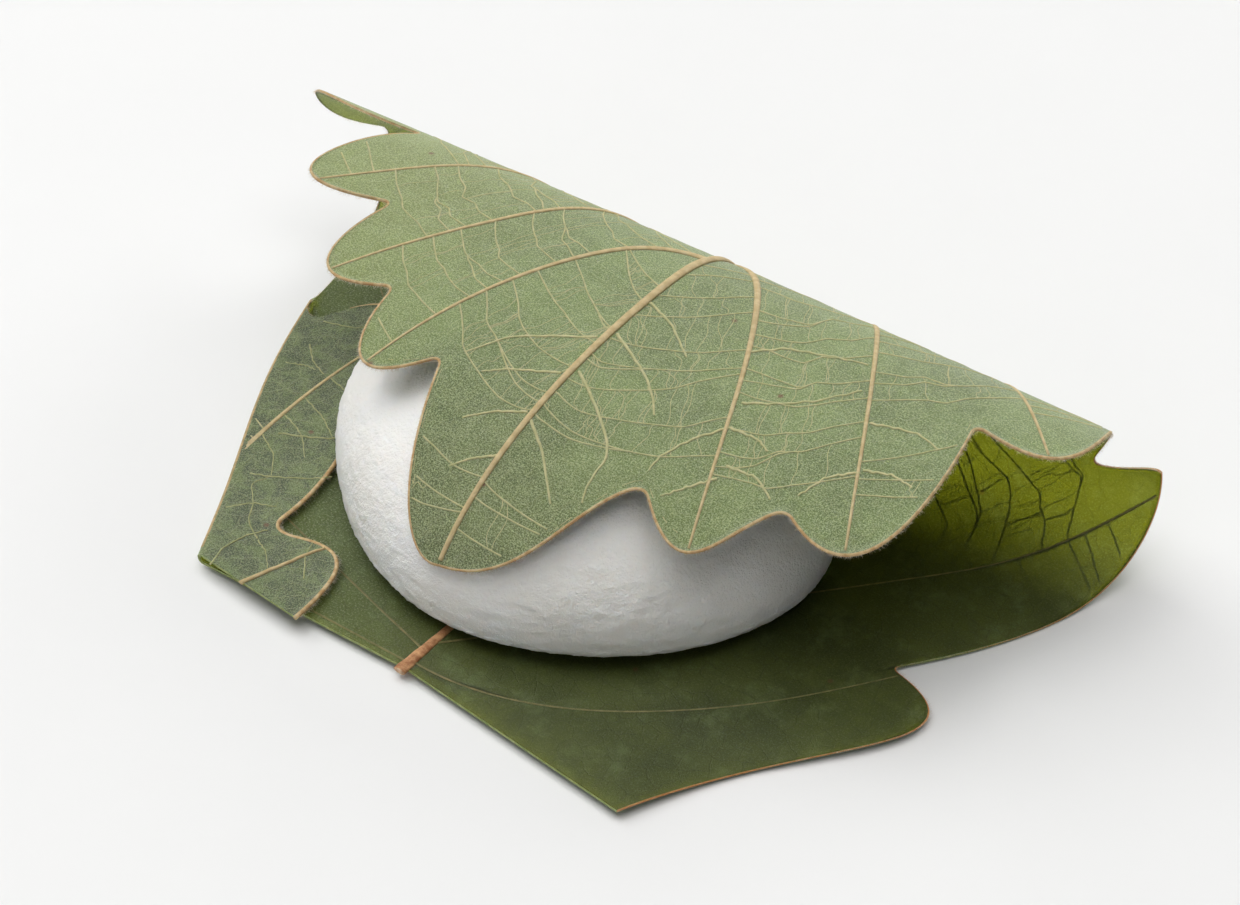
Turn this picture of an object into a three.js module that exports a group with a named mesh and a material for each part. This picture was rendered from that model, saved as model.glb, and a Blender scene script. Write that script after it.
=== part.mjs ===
// A kashiwa mochi: one flattened cake of pounded rice, held in a single oak leaf that is folded over it.
//
// Frame, in millimetres: +X runs across the leaf, along its fold, +Y along the midrib towards the fold,
// and +Z up. The leaf is first laid out flat, as [out from the midrib, along it from the cut base], and
// is then bent: flat on the table, up and over in one roll, and forward over the cake to its tip.
import * as THREE from "three";

// ---- driving dimensions ----
const MIDRIB_X = 4.6; // the midrib and the cut base, from the middle of the footprint
const BASE_Y = -35.9;

const LEAF_THICKNESS = 0.4;
const LEAF_TIP = [0, 163.5];
const FAN_END = 138; // the last side row leaves the midrib here, and the midrib itself runs on to the tip

const ROLL_START = 54.6; // along the midrib, where the leaf leaves the table
const ROLL_SKEW = 0.008; // the start moves on by this share of the way out to the right
const ROLL_LENGTH = 57.8; // of leaf in the half turn
const ROLL_WIDENING = 0.006; // the half turn lengthens by this share of the way out to the right
const ROLL_PINCH = 0.0002; // and shortens by this times the square of the way out
const COVER_END = 180; // the droop of the covering half is reckoned up to here
const DROOP = 30; // degrees, even, from the roll to COVER_END
const TIP_DROOP = 68; // degrees more, growing as the third power
const SIDE_DROOP = 6; // degrees more at SIDE_REACH out from the midrib, with the square of the way out
const SIDE_REACH = 50;
const SIDE_EASE = 0.3; // how much that square is held back
const SIDE_SETTLED = 0.35; // the share of the covering half over which the sides come down
const DROOP_STEP = 1; // the bent leaf is summed up in steps of this length

const CREASE_FOOT = [36.1, -0.6]; // the left edge is turned in over itself along this line
const CREASE_HEAD = [61.5, 52.2];
const CREASE_BULGE = 1.15; // how far the line bulges outwards at its middle
const CREASE_WAVE = 0.4; // and how far it sways, in over its lower half and out over its upper
const CREASE_RADIUS = 0.7;

const MIDRIB_WIDTH = 1.8;
const MIDRIB_HEIGHT = 0.6; // on the outer face, where the leaf is off the table
const VEIN_HEIGHT = 0.35;
const VEIN_SPREAD = 0.03; // half its width, as a share of the lobe's curve
const RELIEF_START = 58.5; // the veins stand out from here along the midrib, fully after RELIEF_RUN
const RELIEF_RUN = 19.3;
const PILLOW = 0.3; // how far the blade swells inwards between two side veins
const PILLOW_START = 95; // where the swelling begins
const EDGE_LIFT = 1.2; // how far the lower side lobes rise off the table
const EDGE_LIFT_FROM = 40; // out from the midrib
const EDGE_LIFT_TO = 62;
const EDGE_LIFT_END = 65.5; // along the midrib
const BASE_LIFT = 1.2; // how far the cut base rises off the table
const BASE_LIFT_START = 14; // along the midrib, growing towards the cut base over BASE_LIFT_RUN
const BASE_LIFT_RUN = 18;
const BASE_SLIDE = [0.7, -0.85]; // how far the raised base slides in X and Y, as shares of its rise

const CAKE_CENTRE = [-1.5, 38.4]; // from the cut base, in X and Y
const CAKE_LENGTH = 76.7;
const CAKE_DEPTH = 59.7;
const CAKE_TURN = -0.087; // radians, about +Z
const CAKE_BOTTOM = 0.75;
const CAKE_WIDEST = 4; // the height at which the cake is widest, as it has sagged onto the leaf
const CAKE_TOP = 23.9;
const CAKE_TOP_ROUND = 2.2; // superellipse exponents above and below the widest height
const CAKE_BOTTOM_ROUND = 2.8;
const CAKE_WAVES = [[3, -0.047, -0.36], [4, 0.004, -0.391]]; // round it: how many, share of radius, radians

const ROW_SPACING = 4; // along the margin
const ROW_BEND = 0.7; // the share of the way out at which a row bends
const ROW_BEND_LATE = 0.97; // and the same below a neck, where the row runs to the margin almost straight
const INNER_COLUMNS = 7; // from the midrib to the bend of the row, and from there to the margin
const INNER_CLOSE = 0.2; // the share of that stretch with closer columns, next to the bend
const OUTER_COLUMNS = 4;
const OUTER_CLOSE = 0.3;
const CAKE_SIDES = 48;
const CAKE_RINGS = 9; // above and again below the widest height

// ---- colours ----
const LEAF_COLOUR = 0x7f9468;
const CAKE_COLOUR = 0xe6e4de;

// ---- the lobes ----
// Each stretch of the margin is one cubic curve from its first point, at a notch or at a lobe's tip, to
// that of the next, with two handles, all given as [out, along]. Where a side vein ends on it, foot is
// where the vein leaves the midrib, tip the share of the curve before its end, and bow how much it bends.
// widest is the share at which a curve reaches farthest out, where it sets the leaf's width. The rows of a
// necked lobe bend between its two notches.
const RIGHT_LOBES = [
  { notch: [38, -4], rise: [48.5, 19.5], fall: [74.8, 33.2], foot: 1.5, tip: 0.96, bow: 1.1 },
  { notch: [51.2, 38.2], rise: [63.2, 52], fall: [68.6, 67.7], foot: 5.5, tip: 0.96, bow: 0.03 },
  { notch: [68.3, 85], rise: [69.3, 90.5], fall: [64, 83.5], widest: 0.08 },
  { notch: [57.5, 83], rise: [72, 113], fall: [59, 112], foot: 41, tip: 0.72, bow: -0.1 },
  { notch: [50, 110], rise: [57, 135.5], fall: [49.5, 143.5], foot: 60.5, tip: 0.73, bow: 0.3 },
  { notch: [38, 136], rise: [32.5, 142.5], fall: [33, 155], foot: 92, tip: 0.53, bow: 0.66 },
  { notch: [20, 142], rise: [13.5, 147], fall: [14, 162], foot: FAN_END, tip: 1, bow: 0 },
];
const LEFT_LOBES = [
  { notch: [47, -17.1], rise: [62.1, -4.5], fall: [50.4, -2.3], foot: 1, tip: 0.6, bow: 0 },
  { notch: [46.8, 1.7], rise: [68.2, 12.8], fall: [86.5, 58.4], foot: 4, tip: 0.72, bow: 0.08 },
  { notch: [62.5, 45.4], rise: [57.7, 48], fall: [68.2, 71.4], foot: 18, tip: 0.53, bow: 0 },
  {
    notch: [63.8, 87.8],
    rise: [87.5, 77],
    fall: [78, 101],
    foot: 32,
    tip: 0.42,
    bow: 0,
    necked: true,
    widest: 0.35,
  },
  { notch: [52.5, 96], rise: [53.5, 102], fall: [70, 123.5], foot: 46, tip: 0.65, bow: -0.25 },
  { notch: [42.5, 115.5], rise: [46.5, 131.5], fall: [41.5, 134.5], foot: 63.5, tip: 0.61, bow: -0.1 },
  { notch: [31, 129.5], rise: [31, 137.5], fall: [28, 150], foot: 99.5, tip: 0.57, bow: 0.95 },
  { notch: [17, 137], rise: [12.5, 150], fall: [6.5, 165.5], foot: FAN_END, tip: 1, bow: 0 },
];
// Where the rows of the left side cross the crease: [place along the margin, share of the crease's length].
const CREASE_CROSSINGS = [[0, 0], [0.6, 0.03], [1, 0.07], [1.72, 0.36], [2, 0.82], [2.18, 1]];

const { clamp, lerp, degToRad } = THREE.MathUtils;

// A step from 0 to 1 that is level at both ends.
function smooth(value) {
  const u = clamp(value, 0, 1);
  return u * u * (3 - 2 * u);
}

// The height at x of the broken line through points, each [x, height], in order of x.
function brokenLine(points, x) {
  let i = 0;
  while (i < points.length - 2 && x > points[i + 1][0]) i += 1;
  const [[x0, y0], [x1, y1]] = [points[i], points[i + 1]];
  return lerp(y0, y1, clamp((x - x0) / (x1 - x0), 0, 1));
}

// ---- the flat leaf ----

// The curves of each side's margin.
function marginCurves(lobes) {
  return lobes.map(({ notch, rise, fall }, i) => {
    const corners = [notch, rise, fall, lobes[i + 1]?.notch ?? LEAF_TIP];
    return new THREE.CubicBezierCurve(...corners.map((p) => new THREE.Vector2(...p)));
  });
}
const MARGINS = new Map([RIGHT_LOBES, LEFT_LOBES].map((lobes) => [lobes, marginCurves(lobes)]));

// The point of a side's margin at place, which is a curve's number plus the share of its length.
function marginPoint(lobes, place) {
  const i = Math.min(Math.floor(place), lobes.length - 1);
  return MARGINS.get(lobes)[i].getPointAt(place - i);
}

// The places at which veins end, each with what its lobe names there.
function atVeins(lobes, name) {
  return lobes.flatMap((lobe, i) => (lobe.tip === undefined ? [] : [[i + lobe.tip, lobe[name]]]));
}

// A quantity that each lobe names at its vein, read off between the veins.
function perLobe(lobes, name, place) {
  return brokenLine([[0, 0], ...atVeins(lobes, name)], place);
}

// The unit direction up the crease, and the one across it, away from the midrib.
function creaseFrame() {
  const foot = new THREE.Vector2(...CREASE_FOOT);
  const span = new THREE.Vector2(...CREASE_HEAD).sub(foot);
  const way = span.clone().normalize();
  return { foot, span, way, away: new THREE.Vector2(way.y, -way.x) };
}

// How far the crease sways outwards at a share of its length.
function creaseSway(share) {
  const turn = Math.PI * clamp(share, 0, 1);
  return CREASE_BULGE * Math.sin(turn) - CREASE_WAVE * Math.sin(2 * turn);
}

// How far a flat point lies beyond the crease, on the side that is turned in.
function beyondCrease(p) {
  const { foot, span, way, away } = creaseFrame();
  const from = p.clone().sub(foot);
  return away.dot(from) - creaseSway(way.dot(from) / span.length());
}

// Whether the row at place on one side is turned in at its end.
function creased(lobes, place) {
  return lobes === LEFT_LOBES && place <= CREASE_CROSSINGS.at(-1)[0];
}

// Where the row at place bends: on the crease if it is turned in, between the notches in a necked lobe,
// and else most of the way out.
function rowBend(lobes, place, foot, margin) {
  const i = Math.min(Math.floor(place), lobes.length - 1);
  if (lobes[i].necked) {
    return new THREE.Vector2(...lobes[i].notch).lerp(new THREE.Vector2(...lobes[i + 1].notch), place - i);
  }
  if (creased(lobes, place)) {
    const share = brokenLine(CREASE_CROSSINGS, place);
    const crease = creaseFrame();
    return crease.foot.addScaledVector(crease.span, share).addScaledVector(crease.away, creaseSway(share));
  }
  const pastNeck = place - 1 - lobes.findLastIndex(({ necked }) => necked);
  return foot.clone().lerp(margin, lerp(ROW_BEND_LATE, ROW_BEND, smooth(2 * pastNeck)));
}

// The shares of a stretch at which its columns stand, close together over the last part of it.
function columnShares(count, close) {
  const even = Array.from({ length: count + 1 }, (_, i) => (i / count) * (1 - close));
  return [...even, 1 - close / 2, 1];
}

// The flat points of one row, from the midrib to the margin.
function flatRow(lobes, place) {
  const foot = new THREE.Vector2(0, perLobe(lobes, "foot", place));
  const margin = marginPoint(lobes, place);
  const bend = rowBend(lobes, place, foot, margin);
  const bow = perLobe(lobes, "bow", place);
  const arc = (Math.PI / 2) * CREASE_RADIUS;
  const nearCrease = (p) => clamp(arc / Math.max(Math.abs(beyondCrease(p)), arc), 0.02, 0.5);
  const turned = creased(lobes, place);
  const inner = columnShares(INNER_COLUMNS, turned ? nearCrease(foot) : INNER_CLOSE);
  const outer = columnShares(OUTER_COLUMNS, turned ? nearCrease(margin) : OUTER_CLOSE).map((u) => 1 - u);
  const midrib = clamp(MIDRIB_WIDTH / 2 / Math.max(bend.x, 1e-6), 0, inner[1] / 2);
  inner.splice(1, 0, midrib);
  const points = inner.map((u) => foot.clone().lerp(bend, u));
  points.push(...outer.reverse().slice(1).map((u) => bend.clone().lerp(margin, u)));
  const reach = Math.max(margin.x, 1e-6);
  for (const p of points) {
    const t = clamp(p.x / reach, 0, 1);
    p.y -= bow * (margin.y - foot.y) * t * (1 - t);
  }
  return points;
}

// The places along one side's margin at which rows end: each vein has a row and one close on each side,
// and so has the widest place.
function rowPlaces(lobes) {
  const places = lobes.flatMap(({ tip, widest }, i) => {
    const veined = tip < 1 ? [tip - VEIN_SPREAD, tip, tip + VEIN_SPREAD] : [];
    const stops = [0, ...veined, widest ?? [], 1].flat().sort((a, b) => a - b);
    const length = MARGINS.get(lobes)[i].getLength();
    return stops.slice(1).flatMap((end, k) => {
      const count = Math.ceil((length * (end - stops[k])) / ROW_SPACING);
      return Array.from({ length: count }, (_, n) => i + lerp(stops[k], end, n / count));
    });
  });
  return [...places, lobes.length];
}

// ---- the bent leaf ----

// The slope of the leaf at a flat point, in radians: 0 on the table, half a turn over the roll.
function slope(out, run) {
  const start = ROLL_START + ROLL_SKEW * out;
  const length = ROLL_LENGTH + ROLL_WIDENING * out - ROLL_PINCH * out * out;
  const end = start + length;
  const roll = Math.PI * smooth((run - start) / length);
  const past = Math.max(run - end, 0) / (COVER_END - end);
  const side = (out / SIDE_REACH) ** 2;
  const hang = DROOP * past + TIP_DROOP * past ** 3;
  return roll + degToRad(hang + ((SIDE_DROOP * side) / (1 + SIDE_EASE * side)) * smooth(past / SIDE_SETTLED));
}

// The bent place of a flat point, with the leaf's two directions there: up its midrib, and to its inside.
function bentPlace(x, run) {
  const place = new THREE.Vector3(x, Math.min(run, 0), LEAF_THICKNESS / 2);
  const steps = Math.ceil(Math.max(run, 0) / DROOP_STEP);
  for (let i = 0; i < steps; i += 1) {
    const angle = slope(x, (run * (i + 0.5)) / steps);
    place.y += (Math.cos(angle) * run) / steps;
    place.z += (Math.sin(angle) * run) / steps;
  }
  const angle = slope(x, run);
  const up = new THREE.Vector3(0, Math.cos(angle), Math.sin(angle));
  const inward = new THREE.Vector3(0, -Math.sin(angle), Math.cos(angle));
  return { place, up, inward };
}

// A point of the finished leaf: side is 1 on the right and -1 on the left, and depth is measured from
// the middle of its thickness to the inside.
function leafPoint(side, flat, depth) {
  const beyond = side < 0 ? beyondCrease(flat) : -Infinity;
  const turn = clamp(beyond / CREASE_RADIUS + Math.PI / 2, 0, Math.PI);
  const { away } = creaseFrame();
  const kept = flat.clone();
  if (turn > 0) {
    const bentTo = turn < Math.PI ? (-Math.PI / 2 + Math.sin(turn)) * CREASE_RADIUS : -beyond;
    kept.addScaledVector(away, bentTo - beyond);
  }
  const { place, up, inward } = bentPlace(side * kept.x, kept.y);
  const outward = up.clone().multiplyScalar(away.y).add(new THREE.Vector3(side * away.x, 0, 0));
  const raised = lift(kept) + CREASE_RADIUS * (1 - Math.cos(turn));
  place.addScaledVector(inward, raised + depth * Math.cos(turn));
  place.addScaledVector(outward, -depth * Math.sin(turn));
  const base = BASE_LIFT * smooth((BASE_LIFT_START - kept.y) / BASE_LIFT_RUN);
  return place.addScaledVector(new THREE.Vector3(...BASE_SLIDE, 1), base);
}

// The rise of the lower side lobes off the table.
function lift(flat) {
  const outer = smooth((flat.x - EDGE_LIFT_FROM) / (EDGE_LIFT_TO - EDGE_LIFT_FROM));
  return EDGE_LIFT * outer * smooth((EDGE_LIFT_END - flat.y) / ROLL_START);
}

// The rows of one side of the leaf, each a list of flat points with their relief.
function leafRows(side, lobes) {
  const veins = atVeins(lobes, "tip").map(([place]) => place);
  return rowPlaces(lobes).map((place) => {
    const onVein = veins.slice(0, -1).some((vein) => Math.abs(place - vein) < 1e-9);
    const vein = onVein ? VEIN_HEIGHT : 0;
    const passed = brokenLine([[0, 0], ...veins.map((at, k) => [at, k + 1])], place);
    const between = Math.sin(Math.PI * passed) ** 2;
    const points = flatRow(lobes, place);
    const reach = Math.max(points.at(-1).x, 1e-6);
    return points.map((flat) => {
      const t = clamp(flat.x / reach, 0, 1);
      const free = smooth((flat.y - RELIEF_START) / RELIEF_RUN);
      const covering = smooth((flat.y - PILLOW_START) / RELIEF_RUN);
      const midrib = MIDRIB_HEIGHT * clamp(1 - flat.x / (MIDRIB_WIDTH / 2), 0, 1);
      const relief = Math.max(midrib, vein * Math.sqrt(1 - t)) * free;
      return { side, flat, relief, swell: PILLOW * between * 4 * t * (1 - t) * covering };
    });
  });
}

// The triangles between two neighbouring rows, or columns, with as many points each.
function quads(rows, firstColumn) {
  const triangles = [];
  for (let i = 0; i + 1 < rows.length; i += 1) {
    for (let j = firstColumn; j + 1 < rows[i].length; j += 1) {
      const [a, b, c, d] = [rows[i][j], rows[i][j + 1], rows[i + 1][j + 1], rows[i + 1][j]];
      triangles.push([a, b, d], [b, c, d]);
    }
  }
  return triangles;
}

// The triangles between two lines of points that run side by side but are spaced differently.
function seam(left, right) {
  const triangles = [];
  let [i, j] = [0, 0];
  while (i + 1 < left.length || j + 1 < right.length) {
    const stepRight = j + 1 < right.length && right[j + 1].flat.y < (left[i + 1]?.flat.y ?? Infinity);
    triangles.push([left[i], right[j], stepRight ? right[j + 1] : left[i + 1]]);
    if (stepRight) j += 1;
    else i += 1;
  }
  return triangles;
}

// The whole leaf as one closed solid: the same triangles on both faces, and a wall round the margin.
function leafGeometry() {
  const points = [];
  const known = new Map();
  const number = (corner) => {
    const key = [corner.side * corner.flat.x, corner.flat.y].map((v) => Math.round(v * 1000)).join();
    const plain = key.replace("-0,", "0,");
    if (!known.has(plain)) known.set(plain, points.push(corner) - 1);
    return known.get(plain);
  };
  const right = leafRows(1, RIGHT_LOBES);
  const left = leafRows(-1, LEFT_LOBES);
  const column = (rows, j) => rows.map((row) => row[j]);
  const leftFaces = quads(left, 1).map(([a, b, c]) => [a, c, b]);
  const faces = [...quads(right, 0), ...seam(column(left, 1), column(right, 0)), ...leftFaces]
    .map((corners) => corners.map(number))
    .filter(([a, b, c]) => a !== b && b !== c && c !== a);
  const inner = points.map((p) => leafPoint(p.side, p.flat, LEAF_THICKNESS / 2 + p.swell));
  const outer = points.map((p) => leafPoint(p.side, p.flat, p.swell - LEAF_THICKNESS / 2 - p.relief));
  const count = points.length;
  const edges = new Set(faces.flatMap(([a, b, c]) => [`${a},${b}`, `${b},${c}`, `${c},${a}`]));
  const index = [];
  for (const [a, b, c] of faces) index.push(a, b, c, a + count, c + count, b + count);
  for (const edge of edges) {
    const [a, b] = edge.split(",").map(Number);
    if (!edges.has(`${b},${a}`)) index.push(b, a, a + count, b, a + count, b + count);
  }
  return solidGeometry([...inner, ...outer], index);
}

function solidGeometry(points, index) {
  const geometry = new THREE.BufferGeometry().setFromPoints(points);
  geometry.setIndex(index);
  geometry.computeVertexNormals();
  return geometry;
}

// ---- the cake ----

// The cake's radius at its widest, in a direction: an oval with a few shallow waves round it.
function cakeRadius(angle) {
  const [long, deep] = [CAKE_LENGTH / 2, CAKE_DEPTH / 2];
  const oval = (long * deep) / Math.hypot(deep * Math.cos(angle), long * Math.sin(angle));
  const waves = CAKE_WAVES.map(([count, share, at]) => share * Math.cos(count * (angle - at)));
  return oval * waves.reduce((sum, wave) => sum + wave, 1);
}

// A point of the cake's skin: ring runs from -1 at the bottom, through 0 where it is widest, to 1 on top.
function cakePoint(ring, angle) {
  const round = ring < 0 ? CAKE_BOTTOM_ROUND : CAKE_TOP_ROUND;
  const height = ring < 0 ? CAKE_WIDEST - CAKE_BOTTOM : CAKE_TOP - CAKE_WIDEST;
  const turn = (Math.abs(ring) * Math.PI) / 2;
  const radius = cakeRadius(angle) * Math.cos(turn) ** (2 / round);
  return new THREE.Vector3(
    CAKE_CENTRE[0] + radius * Math.cos(angle + CAKE_TURN),
    CAKE_CENTRE[1] + radius * Math.sin(angle + CAKE_TURN),
    CAKE_WIDEST + Math.sign(ring) * height * Math.sin(turn) ** (2 / round),
  );
}

function cakeGeometry() {
  const points = [cakePoint(-1, 0)];
  const rings = 2 * CAKE_RINGS - 1;
  for (let k = 1; k <= rings; k += 1) {
    for (let i = 0; i < CAKE_SIDES; i += 1) {
      points.push(cakePoint(k / CAKE_RINGS - 1, (2 * Math.PI * i) / CAKE_SIDES));
    }
  }
  const top = points.push(cakePoint(1, 0)) - 1;
  const index = [];
  for (let i = 0; i < CAKE_SIDES; i += 1) {
    const next = (i + 1) % CAKE_SIDES;
    index.push(0, 1 + next, 1 + i);
    for (let k = 0; k + 1 < rings; k += 1) {
      const [low, high] = [1 + k * CAKE_SIDES, 1 + (k + 1) * CAKE_SIDES];
      index.push(low + i, low + next, high + next, low + i, high + next, high + i);
    }
    index.push(top - CAKE_SIDES + i, top - CAKE_SIDES + next, top);
  }
  return solidGeometry(points, index);
}

// ---- the scene graph ----

function piece(name, geometry, color, roughness) {
  const material = new THREE.MeshStandardMaterial({ color, roughness, metalness: 0 });
  const mesh = new THREE.Mesh(geometry, material);
  mesh.name = name;
  return mesh;
}

const kashiwaMochi = new THREE.Group();
const onLeaf = new THREE.Group();
onLeaf.position.set(MIDRIB_X, BASE_Y, 0);
onLeaf.add(piece("oak_leaf", leafGeometry(), LEAF_COLOUR, 0.75));
onLeaf.add(piece("mochi", cakeGeometry(), CAKE_COLOUR, 0.6));
kashiwaMochi.add(onLeaf);

export default kashiwaMochi;
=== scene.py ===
"""Looks of a kashiwa mochi: one cake of pounded rice, held in a single oak leaf that is folded over it.

The pieces are in metres, in the frame of the CAD part: +X along the fold, +Y along the midrib, +Z up.
The leaf is first laid out flat, in millimetres, as [out from the midrib, along it from the cut base],
and is then bent: flat on the table, up and over in one roll, and forward over the cake to its tip.
"""

import math

import bpy
import numpy as np
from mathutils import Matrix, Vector


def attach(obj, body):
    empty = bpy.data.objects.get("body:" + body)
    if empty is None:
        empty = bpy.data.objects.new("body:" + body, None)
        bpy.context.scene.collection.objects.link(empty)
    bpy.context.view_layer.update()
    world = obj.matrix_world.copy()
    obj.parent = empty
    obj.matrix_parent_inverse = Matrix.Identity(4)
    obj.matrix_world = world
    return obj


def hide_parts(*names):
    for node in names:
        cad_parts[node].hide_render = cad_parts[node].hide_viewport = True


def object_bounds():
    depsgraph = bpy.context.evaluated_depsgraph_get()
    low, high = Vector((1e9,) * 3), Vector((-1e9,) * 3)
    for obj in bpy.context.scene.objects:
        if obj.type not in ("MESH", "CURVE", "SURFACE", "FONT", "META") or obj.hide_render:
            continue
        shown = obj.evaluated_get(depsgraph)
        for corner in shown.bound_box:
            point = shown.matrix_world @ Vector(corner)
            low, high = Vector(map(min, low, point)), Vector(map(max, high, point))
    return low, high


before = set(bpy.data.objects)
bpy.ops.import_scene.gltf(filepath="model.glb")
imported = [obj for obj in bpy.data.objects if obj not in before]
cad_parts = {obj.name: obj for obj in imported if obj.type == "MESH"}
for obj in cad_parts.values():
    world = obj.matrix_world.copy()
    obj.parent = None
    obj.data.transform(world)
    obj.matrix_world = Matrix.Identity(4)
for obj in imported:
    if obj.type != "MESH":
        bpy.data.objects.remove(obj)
cad_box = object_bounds()

# ---- the leaf's dimensions, in millimetres ----
ORIGIN = np.array([4.6, -35.9, 0.0])  # where the midrib meets the cut base
LEAF_THICKNESS = 0.4
LEAF_TIP = (0.0, 163.5)
FAN_END = 138.0

ROLL_START = 54.6
ROLL_SKEW = 0.008
ROLL_LENGTH = 57.8
ROLL_WIDENING = 0.006
ROLL_PINCH = 0.0002
COVER_END = 180.0
DROOP = 30.0
TIP_DROOP = 68.0
SIDE_DROOP = 6.0
SIDE_REACH = 50.0
SIDE_EASE = 0.3
SIDE_SETTLED = 0.35
BEND_STEPS = 180

CREASE_FOOT = np.array([36.1, -0.6])
CREASE_HEAD = np.array([61.5, 52.2])
CREASE_BULGE = 1.15
CREASE_WAVE = 0.4
CREASE_RADIUS = 0.7
CREASE_CROSSINGS = np.array([[0, 0], [0.6, 0.03], [1, 0.07], [1.72, 0.36], [2, 0.82], [2.18, 1]])

RELIEF_START = 58.5
RELIEF_RUN = 19.3
PILLOW = 0.3
PILLOW_START = 95.0
CORNER_ROUNDING = 1.8
WIDE_ROUNDING = 3.6
EDGE_LIFT = 1.2
EDGE_LIFT_FROM = 40.0
EDGE_LIFT_TO = 62.0
EDGE_LIFT_END = 65.5
BASE_LIFT = 1.2
BASE_LIFT_START = 14.0
BASE_LIFT_RUN = 18.0
BASE_SLIDE = np.array([0.7, -0.85, 1.0])

ROW_BEND = 0.7
ROW_BEND_LATE = 0.97

# Each margin curve runs from its first point, on two handles, to the next curve's first point.
RIGHT_CURVES = [
    [(38, -4), (48.5, 19.5), (74.8, 33.2)],
    [(51.2, 38.2), (63.2, 52), (68.6, 67.7)],
    [(68.3, 85), (69.3, 90.5), (64, 83.5)],
    [(57.5, 83), (72, 113), (59, 112)],
    [(50, 110), (57, 135.5), (49.5, 143.5)],
    [(38, 136), (32.5, 142.5), (33, 155)],
    [(20, 142), (13.5, 147), (14, 162)],
]
LEFT_CURVES = [
    [(47.0, -17.1), (62.1, -4.5), (50.4, -2.3)],
    [(46.8, 1.7), (68.2, 12.8), (86.5, 58.4)],
    [(62.5, 45.4), (57.7, 48), (68.2, 71.4)],
    [(63.8, 87.8), (87.5, 77), (78, 101)],
    [(52.5, 96), (53.5, 102), (70, 123.5)],
    [(42.5, 115.5), (46.5, 131.5), (41.5, 134.5)],
    [(31, 129.5), (31, 137.5), (28, 150)],
    [(17, 137), (12.5, 150), (6.5, 165.5)],
]
# Each side vein: its end as a place along the margin, its foot on the midrib, and how much it bows.
RIGHT_VEINS = np.array([
    [0, 0, 0], [0.96, 1.5, 1.1], [1.96, 5.5, 0.03], [3.72, 41, -0.1], [4.73, 60.5, 0.3], [5.53, 92, 0.66],
    [7, FAN_END, 0],
])
LEFT_VEINS = np.array([
    [0, 0, 0], [0.6, 1, 0], [1.72, 4, 0.08], [2.53, 18, 0], [3.42, 32, 0], [4.65, 46, -0.25],
    [5.61, 63.5, -0.1], [6.57, 99.5, 0.95], [8, FAN_END, 0],
])

# Widths and heights of the veins, from where each starts to where it ends.
MIDRIB_WIDTHS, MIDRIB_HEIGHTS = (2.3, 0.7), (0.7, 0.25)
VEIN_WIDTHS, VEIN_HEIGHTS = (1.3, 0.35), (0.36, 0.12)
INNER_WIDTHS, INNER_HEIGHTS = (0.34, 0.2), (0.09, 0.05)
BRANCH_WIDTHS, BRANCH_HEIGHTS = (0.46, 0.28), (0.15, 0.09)
CROSS_WIDTH, CROSS_HEIGHT = 0.24, 0.09
LINK_WIDTH, LINK_HEIGHT = 0.11, 0.03
CROSS_SPACING = 4.8
FOLD_LINE_AT = 0.55  # past the crease
FOLD_LINE_WIDTH, FOLD_LINE_HEIGHT = 0.55, 0.05
BACK_AT = 83.5  # along the midrib, where the roll reaches furthest back
BACK_SPREAD = 8.0
MARGIN_INSET = 0.15  # the blade stops this far short of its margin, inside the rim
HAIRS_PER_MILLIMETRE = 9
HAIR_LENGTHS = (0.2, 0.65)
HAIR_RADIUS = 0.02

# ---- the cake's dimensions, in millimetres ----
CAKE_CENTRE = (-1.5, 38.4)
CAKE_LENGTH = 76.7
CAKE_DEPTH = 59.7
CAKE_TURN = -0.087
CAKE_BOTTOM = 0.75
CAKE_WIDEST = 4.0
CAKE_TOP = 23.9
CAKE_TOP_ROUND = 2.2
CAKE_BOTTOM_ROUND = 2.8
CAKE_WAVES = [(3, -0.047, -0.36), (4, 0.004, -0.391)]

# ---- how finely the pieces are divided ----
LEAF_ROWS = 380
INNER_COLUMNS = 30
OUTER_COLUMNS = 14
CLOSE_COLUMNS = 8
CAKE_SIDES = 320
CAKE_RINGS = 90
CROSS_STEPS = 41
LINK_STEPS = 13
HAIR_SIDES = 4
HAIR_RINGS = 3
FLAT_SPAN = 400.0  # millimetres of flat leaf across the whole UV map


# ---- small helpers ----
def smooth(value):
    """3u^2 - 2u^3, with u the value held between 0 and 1."""
    u = np.clip(value, 0, 1)
    return u * u * (3 - 2 * u)


def mix(a, b, share):
    """a where share is 0 and b where it is 1."""
    return a + (b - a) * share


def unit(vectors):
    """Each vector divided by its own length."""
    return vectors / np.maximum(np.linalg.norm(vectors, axis=-1, keepdims=True), 1e-9)


def beside(forward):
    """Flat directions turned a quarter to the right."""
    return np.stack([forward[..., 1], -forward[..., 0]], axis=-1)


# ---- the flat leaf ----
def bezier(corners, t):
    """Cubic curve: its corners weighed by (1-t)^3, 3t(1-t)^2, 3t^2(1-t) and t^3."""
    t = t[..., None]
    a, b, c, d = (corners[..., k, :] for k in range(4))
    return (1 - t) ** 3 * a + 3 * t * (1 - t) ** 2 * b + 3 * t * t * (1 - t) * c + t**3 * d


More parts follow.
